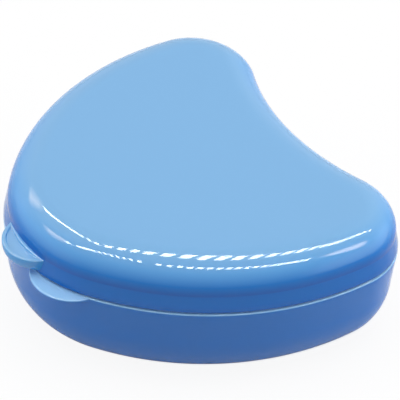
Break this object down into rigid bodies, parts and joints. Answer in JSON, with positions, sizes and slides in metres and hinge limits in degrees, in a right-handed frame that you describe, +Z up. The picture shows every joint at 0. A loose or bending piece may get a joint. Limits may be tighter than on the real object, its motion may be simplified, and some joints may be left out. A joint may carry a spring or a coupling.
{
  "type": "denture case",
  "caption": "Bean-shaped denture case: a rounded bowl with a hinged lid, a thumb tab on the lid and a second tab beside it on the bowl.",
  "frame": {"origin": "on the table, under the middle of the closed case", "axes": "+Z up, the front with the tabs towards -Y, the hinge towards +Y, the two lobes towards -X and +X"},
  "size_m": [0.0816, 0.077, 0.0321],
  "materials": {
    "base_plastic": "gloss",
    "lid_plastic": "gloss",
    "pin_steel": "drawn wire"
  },
  "bodies": {
    "base": {"base_shell": "base_plastic", "hinge_pin": "pin_steel"},
    "lid": {"lid_shell": "lid_plastic"}
  },
  "joints": [
    {"name": "lid_hinge", "type": "hinge", "parent": "base", "child": "lid", "pos_m": [0, 0.03622, 0.01605], "axis": [-1, 0, 0], "range_deg": [0, 180]}
  ]
}
